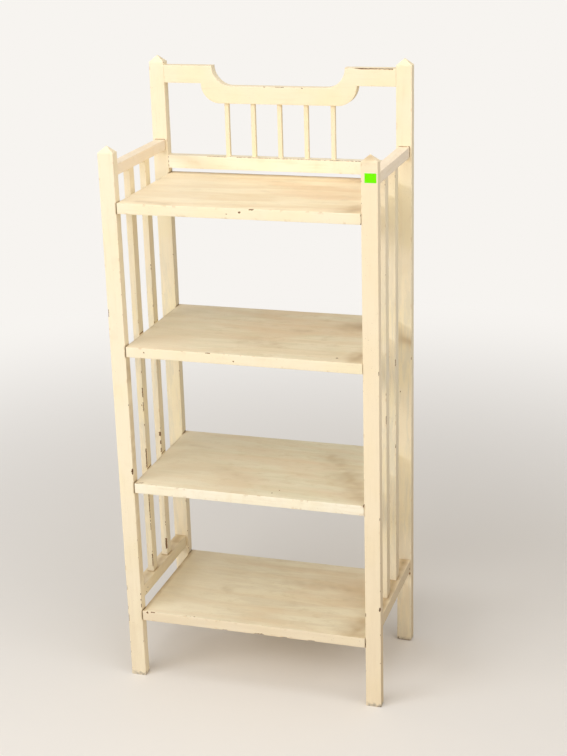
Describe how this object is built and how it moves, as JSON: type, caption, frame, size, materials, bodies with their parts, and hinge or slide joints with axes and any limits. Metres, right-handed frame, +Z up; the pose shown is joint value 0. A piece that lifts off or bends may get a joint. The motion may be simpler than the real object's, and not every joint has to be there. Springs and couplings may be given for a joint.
{
  "type": "etagere",
  "caption": "Tall open shelf unit of painted wood: flat shelves between slatted side frames, with a dropped crest rail over small spindles at the back.",
  "frame": {"origin": "on the floor, under the middle of the unit", "axes": "+X to the right seen from the front, +Y from the front to the back, +Z up; the open front faces -Y"},
  "size_m": [0.526, 0.293, 1.22],
  "materials": {
    "cream_paint": "chalky old cream paint, chipped at the edges",
    "shelf_paint": "old cream paint, rubbed and streaked",
    "nail_steel": "dull steel"
  },
  "bodies": {
    "root": {"front_left_post": "cream_paint", "front_right_post": "cream_paint", "back_left_post": "cream_paint", "back_right_post": "cream_paint", "bottom_shelf": "shelf_paint", "lower_shelf": "shelf_paint", "upper_shelf": "shelf_paint", "top_shelf": "shelf_paint", "left_top_rail": "cream_paint", "right_top_rail": "cream_paint", "left_bottom_rail": "cream_paint", "right_bottom_rail": "cream_paint", "left_front_slat": "cream_paint", "left_rear_slat": "cream_paint", "right_front_slat": "cream_paint", "right_rear_slat": "cream_paint", "crest_rail": "cream_paint", "back_rail": "cream_paint", "back_spindle_1": "cream_paint", "back_spindle_2": "cream_paint", "back_spindle_3": "cream_paint", "back_spindle_4": "cream_paint", "back_spindle_5": "cream_paint", "bottom_shelf_nail_front_left": "nail_steel", "bottom_shelf_nail_front_right": "nail_steel", "bottom_shelf_nail_back_left": "nail_steel", "bottom_shelf_nail_back_right": "nail_steel", "lower_shelf_nail_front_left": "nail_steel", "lower_shelf_nail_front_right": "nail_steel", "lower_shelf_nail_back_left": "nail_steel", "lower_shelf_nail_back_right": "nail_steel", "upper_shelf_nail_front_left": "nail_steel", "upper_shelf_nail_front_right": "nail_steel", "upper_shelf_nail_back_left": "nail_steel", "upper_shelf_nail_back_right": "nail_steel", "top_shelf_nail_front_left": "nail_steel", "top_shelf_nail_front_right": "nail_steel", "top_shelf_nail_back_left": "nail_steel", "top_shelf_nail_back_right": "nail_steel"}
  },
  "joints": []
}
